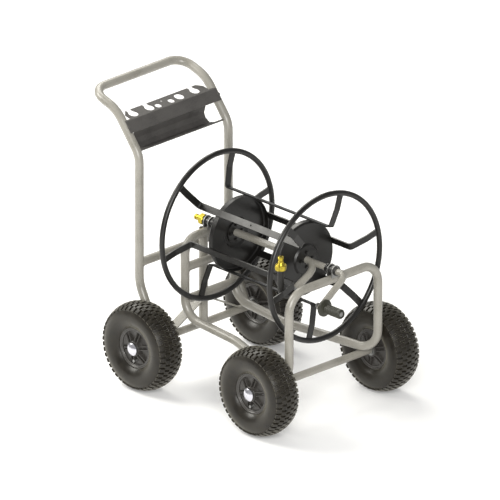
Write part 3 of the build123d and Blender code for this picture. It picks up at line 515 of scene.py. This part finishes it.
# %% One block of the tread
def tread_block(along, across, skew):
    """A bevelled block that stands on z = 0, its foot block_root below, its top crowned."""
    bm = bmesh.new()
    bmesh.ops.create_cube(bm, size=1.0)
    bmesh.ops.scale(bm, vec=(along, across, block_height + block_root), verts=bm.verts[:])
    bmesh.ops.translate(bm, vec=(0, 0, (block_height - block_root) / 2), verts=bm.verts[:])
    top = [v for v in bm.verts if v.co.z > 0]
    bmesh.ops.scale(bm, vec=(taper_along, taper_across, 1), verts=top)
    top_edges = [e for e in bm.edges if min(v.co.z for v in e.verts) > 0]
    bmesh.ops.subdivide_edges(bm, edges=top_edges, cuts=2, use_grid_fill=True)
    for vert in bm.verts:
        if vert.co.z > 0:
            vert.co.z -= vert.co.x**2 / (2 * tyre_r) + vert.co.y**2 / (2 * crown_r)
        vert.co.x += skew * vert.co.y
    floor = [f for f in bm.faces if f.calc_center_median().z < -block_root * 0.9]
    bmesh.ops.delete(bm, geom=floor, context="FACES")
    corners = [e for e in bm.edges if not e.is_boundary and e.calc_face_angle() > radians(60)]
    bmesh.ops.bevel(
        bm, geom=corners, offset=block_edge, segments=1, profile=0.5, affect="EDGES",
        material=-1, clamp_overlap=True,
    )
    return store(bm, "tread block")


print("blocks stand", round(block_height / MM, 1), "mm over the carcass")


# %% The tyres
def carcass():
    """Smooth body of the tyre round the Z axis."""
    lip = (flange_r + lip_rise, tyre_half - lip_inset)
    belly = (tyre_r * belly_share, tyre_half - belly_inset)
    crown_centre = tyre_r - crown_r
    base_r = crown_r - block_height
    shoulder = (
        crown_centre + base_r * cos(shoulder_lean), base_r * sin(shoulder_lean)
    )
    bead = [(flange_r - bead_depth, lip[1] - bead_width), (lip[0], lip[1] - bead_width)]
    half = bead + arc(lip, belly, shoulder, wall_steps)
    crown_top = (crown_centre + base_r, 0)
    crown = arc(shoulder, crown_top, (shoulder[0], -shoulder[1]), crown_steps)
    other = [(r, -h) for r, h in reversed(half)]
    outline = half + crown[1:-1] + other
    return store(lathe(bmesh.new(), outline, carcass_steps), "carcass")


def tyre(name, body_mesh):
    """One tyre: its blocks and its carcass. Each row starts half a step after the last."""
    bm = bmesh.new()
    step = tau / blocks_round
    stand = Matrix.Translation((crown_r - block_height, 0, 0))
    stand = stand @ Matrix.Rotation(pi / 2, 4, "Y") @ Matrix.Rotation(pi / 2, 4, "Z")
    phase = 0.5
    for lean, along, across, skew in tread_rows:
        for side in (1, -1):
            block = tread_block(along * MM, across * MM, skew * side)
            tilt = Matrix.Rotation(-radians(lean) * side, 4, "Y")
            base = Matrix.Translation((tyre_r - crown_r, 0, 0)) @ tilt
            shift = phase if side > 0 else phase + 0.5
            for k in range(blocks_round):
                turn = Matrix.Rotation((k + shift) * step, 4, "Z")
                stamp(bm, block, turn @ base @ stand)
            bpy.data.meshes.remove(block)
        phase += 0.5
    bm.from_mesh(body_mesh)
    place(bm, toward(Y, middle_of(f"tyre_{name}")))
    body, part = f"wheel_{name}", f"tyre_{name}"
    return settle(f"tread_{name}", bm, "tyre_rubber", body, [part], sharp_angle=32)


carcass_mesh = carcass()
tyres = [tyre(name, carcass_mesh) for name in wheel_names]
print("tyres", len(tyres), "faces each", len(tyres[0].data.polygons))

# %% [markdown]
# ## Rims
# A moulded rim is one body: a hub, a dished web and a flange that holds the tyre. Its
# outline is spun round the axle like the tyre's. Pairs of thin ribs stiffen each face,
# and slope from the hub down to the far side of the dish. One rib is made as a bevelled
# block whose outer end is lower, and is then copied round both faces.

# %% Rims with their ribs
hub_r, web_half = 22.0 * MM, 22.6 * MM
rib_pairs = 6
first_rib_turn = 0.25
rib_thickness, rib_apart = 3.0 * MM, 5.4 * MM
# A rib's ends are rib_lap inside the hub and at rib_reach from the axle.
rib_lap, rib_reach = 0.5 * MM, 51.0 * MM
rib_root, rib_high_end, rib_low_end = 1.0 * MM, 35.0 * MM, 26.6 * MM
rib_edge = 0.8 * MM
rim_steps = 72
# Radius and half width of the rim in mm, from the hub's bore out to the flange and back.
rim_outline = [
    (17.6, 37.4), (18.2, 38.0), (21.3, 38.0), (22.0, 37.3), (23.6, 27.0), (25.2, 23.9),
    (28.5, 22.6), (44.0, 22.6), (48.5, 23.6), (52.4, 26.2), (55.4, 29.9), (56.6, 31.1),
    (57.6, 31.5), (59.2, 31.5), (60.0, 30.8), (60.0, 29.0), (51.4, 29.0), (50.8, 28.3),
]


def rim_body():
    """Hub, dished web and flange round the Z axis."""
    half = [(r * MM, h * MM) for r, h in rim_outline]
    other = [(r, -h) for r, h in reversed(half)]
    return store(lathe(bmesh.new(), half + other, rim_steps), "rim body")


def rib():
    """A rib along +X that stands on the web, lower at its outer end."""
    bm = bmesh.new()
    inner, foot = hub_r - rib_lap, web_half - rib_root
    middle = (rib_reach + inner) / 2
    bmesh.ops.create_cube(bm, size=1.0)
    bmesh.ops.scale(bm, vec=(rib_reach - inner, rib_thickness, 1.0), verts=bm.verts[:])
    bmesh.ops.translate(bm, vec=(middle, 0, 0), verts=bm.verts[:])
    for vert in bm.verts:
        top = rib_high_end if vert.co.x < middle else rib_low_end
        vert.co.z = top if vert.co.z > 0 else foot
    top_edges = [e for e in bm.edges if min(v.co.z for v in e.verts) > web_half]
    bmesh.ops.bevel(
        bm, geom=top_edges, offset=rib_edge, segments=2, profile=0.5, affect="EDGES",
        material=-1,
    )
    return store(bm, "rib")


def wheel_rim(name, body_mesh, rib_mesh):
    """One rim: the ribs of both faces and the body."""
    bm = bmesh.new()
    for face in (0.0, pi):
        side = Matrix.Rotation(face, 4, "X")
        for k in range(rib_pairs):
            turn = Matrix.Rotation(tau * (k + first_rib_turn) / rib_pairs, 4, "Z")
            for beside in (-rib_apart, rib_apart):
                stamp(bm, rib_mesh, side @ turn @ Matrix.Translation((0, beside, 0)))
    bm.from_mesh(body_mesh)
    place(bm, toward(Y, middle_of(f"rim_{name}")))
    body, part = f"wheel_{name}", f"rim_{name}"
    return settle(f"dished_rim_{name}", bm, "rim_plastic", body, [part], sharp_angle=30)


rim_mesh, rib_mesh = rim_body(), rib()
rims = [wheel_rim(name, rim_mesh, rib_mesh) for name in wheel_names]
print("rims", len(rims), "faces each", len(rims[0].data.polygons))

# %% [markdown]
# ## Valves
# Each tyre is filled through a short valve that stands out of the dish on the wheel's
# outer face. It is turned, so it too is a spun outline: a flared foot, a thin neck and a
# cap. The outline starts and ends on the axis, where the spin leaves a point for each
# step, so lathe merges them into one pole.

# %% Valve stems
valve_below_axle, valve_sunk = 38.0 * MM, 0.4 * MM
valve_steps = 20
# Radius and height in mm, from the foot to the top of the cap.
valve_outline = [
    (0.0, 0.0), (5.6, 0.0), (5.2, 2.0), (3.9, 4.2), (3.7, 6.0), (2.7, 6.6), (2.7, 7.6),
    (4.2, 7.8), (4.4, 8.4), (4.4, 12.6), (3.7, 13.6), (0.0, 13.8),
]


def valve(name):
    """Valve on the outer face, below the hub at rest."""
    outline = [(r * MM, h * MM) for r, h in valve_outline]
    bm = lathe(bmesh.new(), outline, valve_steps, closed=False)
    centre = middle_of(f"rim_{name}")
    outward = Y if centre.y > 0 else -Y
    foot = centre + outward * (web_half - valve_sunk) - Z * valve_below_axle
    place(bm, toward(outward, foot))
    return settle(f"valve_{name}", bm, "zinc_steel", f"wheel_{name}")


valves = [valve(name) for name in wheel_names]
print("valves", [v.name for v in valves])

# %% [markdown]
# ## Hub bolts
# Eight bolts hold the end plates to the hub plates on the reel's pipe. A hexagon catches
# the light on one of its sides at a time, which a round head can't, so the round ones are
# replaced. Each head starts as a six-sided prism, and its outer rim is bevelled. The same
# prism stands for the nut at the bolt's other end.

# %% Hexagon heads and nuts
bolts_low, bolts_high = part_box("hub_bolts")
hex_r, hex_height, hex_edge = 5.5 * MM, 4.0 * MM, 0.7 * MM
bolt_circle_r = (bolts_high.y - bolts_low.y) / 2 - hex_r
bolts_per_plate = 4


def hexagon():
    """Hexagon head about Z that stands on z = 0."""
    bm = bmesh.new()
    bmesh.ops.create_cone(
        bm, cap_ends=True, segments=6, radius1=hex_r, radius2=hex_r, depth=hex_height,
    )
    bmesh.ops.translate(bm, vec=(0, 0, hex_height / 2), verts=bm.verts[:])
    outer_edges = [e for e in bm.edges if min(v.co.z for v in e.verts) > hex_height / 2]
    bmesh.ops.bevel(
        bm, geom=outer_edges, offset=hex_edge, segments=2, profile=0.5, affect="EDGES",
        material=-1,
    )
    return store(bm, "hexagon")


hex_mesh = hexagon()
bm = bmesh.new()
axis_point = middle_of("hub_bolts")
# Where the heads and the nuts sit along X, and which way they stand out.
ends = [
    (bolts_low.x + hex_height, -X), (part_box("hub_plate_rear")[1].x, X),
    (bolts_high.x - hex_height, X), (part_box("hub_plate_front")[0].x, -X),
]
for seat_x, outward in ends:
    for k in range(bolts_per_plate):
        spoke = Matrix.Rotation(tau * k / bolts_per_plate, 3, "X") @ Y
        seat = Vector((seat_x, axis_point.y, axis_point.z)) + spoke * bolt_circle_r
        stamp(bm, hex_mesh, toward(outward, seat))
settle("hub_hexagons", bm, "reel_paint", "reel", ["hub_bolts"], sharp_angle=30)
print("hexagons", len(ends) * bolts_per_plate, "on a circle of", round(bolt_circle_r, 4))

# %% [markdown]
# ## Welds
# The crossbars are welded to the uprights, all round, and painted with them. Such a bead
# is a row of overlapping puddles about 3 mm wide. It lies on the saddle where one tube
# meets the other. So a thin ring is spun first, each point is moved out from the ring's
# middle line where a puddle swells it, and then lifted onto the round of the other tube.

# %% Weld beads
tube_r = (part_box("handle_crossbar")[1].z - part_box("handle_crossbar")[0].z) / 2
bead_r, bead_proud = 1.7 * MM, 0.5 * MM
bead_sides = 8
puddles_round, steps_per_puddle = 26, 4
puddle_low, puddle_swell = 0.90, 0.16


def weld_bead():
    """Bead round a tube along Z where it meets a tube along X of the same size."""
    ring_r = tube_r + bead_proud
    angles = [tau * k / bead_sides for k in range(bead_sides)]
    outline = [(ring_r + bead_r * cos(a), bead_r * sin(a)) for a in angles]
    bm = lathe(bmesh.new(), outline, puddles_round * steps_per_puddle)
    for vert in bm.verts:
        angle = atan2(vert.co.y, vert.co.x)
        spine = Vector((ring_r * cos(angle), ring_r * sin(angle), 0))
        swell = puddle_low + puddle_swell * abs(sin(angle * puddles_round / 2))
        vert.co = spine + (vert.co - spine) * swell
        across = min(abs(spine.y), tube_r)
        vert.co.z += sqrt(tube_r**2 - across**2)
    return store(bm, "weld bead")


bead_mesh = weld_bead()
for bar in ("handle_crossbar", "hoop_crossbar_low", "hoop_crossbar_high"):
    bar_low, bar_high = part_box(bar)
    bm = bmesh.new()
    for outer_y, inward in ((bar_low.y, Y), (bar_high.y, -Y)):
        joint = Vector(((bar_low.x + bar_high.x) / 2, outer_y, (bar_low.z + bar_high.z) / 2))
        turn = Matrix((Z, inward.cross(Z), inward)).transposed().to_4x4()
        stamp(bm, bead_mesh, Matrix.Translation(joint) @ turn)
    settle(f"welds_{bar}", bm, "frame_paint", "frame")
print("bead faces", len(bead_mesh.polygons))

# %% [markdown]
# ## Studio
# A near white floor, three large soft lights and a dim white world. The floor glows a
# little of its own, as a lit studio sweep does, which keeps the shadows on it faint.
#
# The lights are square and large, because a small one would make hard shadows and a thin
# highlight. The key stands high behind the cart on its right, and gives the tubes their
# long pale highlight and the upper strap its flash. The overhead light stands higher, on
# the left, and brings out the tops of the tyres and tubes. The front light stands beside
# the camera, and shows the faces that turn to it, such as the front of the rack. The
# world fills what is left without a colour of its own.

# %% Floor, light and world
floor_r, floor_glow, world_glow = 9.0, 0.15, 0.40
paper_mm = 400
floor_bm = bmesh.new()
bmesh.ops.create_circle(floor_bm, cap_ends=True, segments=96, radius=floor_r)
floor_mesh = bpy.data.meshes.new("floor")
floor_bm.to_mesh(floor_mesh)
floor_bm.free()
floor = bpy.data.objects.new("floor", floor_mesh)
bpy.context.scene.collection.objects.link(floor)
floor_material, tree, shader, at = finish("studio floor")
paper = add(tree, "TexNoise", {"Vector": at, "Scale": 1 / paper_mm})
paper_tone = add(
    tree, "ValToRGB", {"Fac": (paper, "Fac")}, stops=[(0.3, "ededed"), (0.7, "f0f0f0")],
)
plug(tree, shader, {
    "Base Color": (paper_tone, "Color"), "Roughness": 0.9, "Specular IOR Level": 0.1,
    "Emission Color": linear("ffffff"), "Emission Strength": floor_glow,
})
floor_mesh.materials.append(floor_material)


def soft_light(name, direction, distance, size, power, colour):
    """Square light, in metres and watts, that looks at the cart from a direction."""
    data = bpy.data.lights.new(name, "AREA")
    data.shape = "SQUARE"
    data.size = size
    data.energy = power
    data.color = linear(colour)[:3]
    lamp = bpy.data.objects.new(name, data)
    lamp.location = look_at + direction.normalized() * distance
    lamp.rotation_euler = direction.to_track_quat("Z", "Y").to_euler()
    bpy.context.scene.collection.objects.link(lamp)


soft_light(
    "key", Vector((-0.66, -0.44, 0.60)), distance=3.4, size=1.7, power=88, colour="fffdf6"
)
soft_light(
    "overhead", Vector((-0.60, 0.28, 0.72)), distance=3.6, size=2.2, power=86, colour="fffdf6"
)
soft_light(
    "front", Vector((0.68, -0.62, 0.40)), distance=4.2, size=2.0, power=156, colour="fffefb"
)
world = bpy.data.worlds.new("studio")
world.use_nodes = True
sky = world.node_tree.nodes["Background"]
plug(world.node_tree, sky, {"Color": linear("ffffff"), "Strength": world_glow})
bpy.context.scene.world = world
bpy.context.scene.view_settings.view_transform = "Standard"
